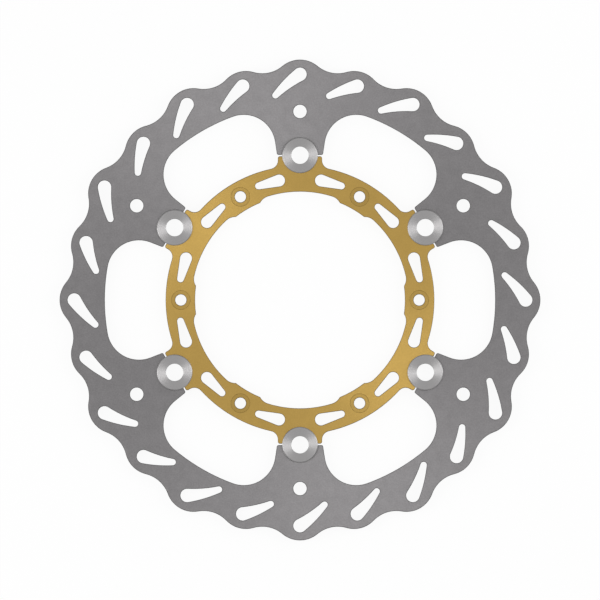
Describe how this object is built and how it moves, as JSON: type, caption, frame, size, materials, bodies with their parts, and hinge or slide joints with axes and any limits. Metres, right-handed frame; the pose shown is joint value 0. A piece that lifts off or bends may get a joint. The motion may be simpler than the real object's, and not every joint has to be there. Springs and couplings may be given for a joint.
{
  "type": "brake disc rotor",
  "caption": "Floating motorcycle brake disc: a waved, slotted steel blade joined to a slim alloy hub carrier by hollow drive buttons with washers and circlips.",
  "frame": {"origin": "on the axle's line, in the plane of the carrier's hub face: the centre of the hub bolt circle", "axes": "+Z along the axle, out of the face that is seen from outside the wheel, with the buttons' flanges; +Y through drive button 1; the buttons are numbered clockwise as seen from +Z"},
  "size_m": [0.28, 0.28, 0.0081],
  "materials": {
    "blade_steel": "ground stainless steel, satin",
    "gold_anodised": "gold anodised, satin",
    "button_steel": "turned and plated",
    "washer_steel": "zinc plated",
    "spring_steel": "phosphated spring steel"
  },
  "bodies": {
    "carrier": {"hub_carrier": "gold_anodised"},
    "blade": {"rotor_blade": "blade_steel"},
    "button_1": {"drive_button_1": "button_steel", "wave_washer_1": "spring_steel", "flat_washer_1": "washer_steel", "circlip_1": "spring_steel"},
    "button_2": {"drive_button_2": "button_steel", "wave_washer_2": "spring_steel", "flat_washer_2": "washer_steel", "circlip_2": "spring_steel"},
    "button_3": {"drive_button_3": "button_steel", "wave_washer_3": "spring_steel", "flat_washer_3": "washer_steel", "circlip_3": "spring_steel"},
    "button_4": {"drive_button_4": "button_steel", "wave_washer_4": "spring_steel", "flat_washer_4": "washer_steel", "circlip_4": "spring_steel"},
    "button_5": {"drive_button_5": "button_steel", "wave_washer_5": "spring_steel", "flat_washer_5": "washer_steel", "circlip_5": "spring_steel"},
    "button_6": {"drive_button_6": "button_steel", "wave_washer_6": "spring_steel", "flat_washer_6": "washer_steel", "circlip_6": "spring_steel"}
  },
  "joints": [
    {"name": "blade_float", "type": "slide", "parent": "carrier", "child": "blade", "axis": [0, 0, 1], "range_m": [-0.0003, 0], "stiffness_N_per_m": 60000, "springref_m": 0.0002, "deforming": ["wave_washer_1", "wave_washer_2", "wave_washer_3", "wave_washer_4", "wave_washer_5", "wave_washer_6"]},
    {"name": "button_1_spin", "type": "hinge", "parent": "carrier", "child": "button_1", "pos_m": [0, 0.0843, 0.002], "axis": [0, 0, 1], "continuous": true},
    {"name": "button_2_spin", "type": "hinge", "parent": "carrier", "child": "button_2", "pos_m": [0.07301, 0.04215, 0.002], "axis": [0, 0, 1], "continuous": true},
    {"name": "button_3_spin", "type": "hinge", "parent": "carrier", "child": "button_3", "pos_m": [0.07301, -0.04215, 0.002], "axis": [0, 0, 1], "continuous": true},
    {"name": "button_4_spin", "type": "hinge", "parent": "carrier", "child": "button_4", "pos_m": [0, -0.0843, 0.002], "axis": [0, 0, 1], "continuous": true},
    {"name": "button_5_spin", "type": "hinge", "parent": "carrier", "child": "button_5", "pos_m": [-0.07301, -0.04215, 0.002], "axis": [0, 0, 1], "continuous": true},
    {"name": "button_6_spin", "type": "hinge", "parent": "carrier", "child": "button_6", "pos_m": [-0.07301, 0.04215, 0.002], "axis": [0, 0, 1], "continuous": true}
  ]
}
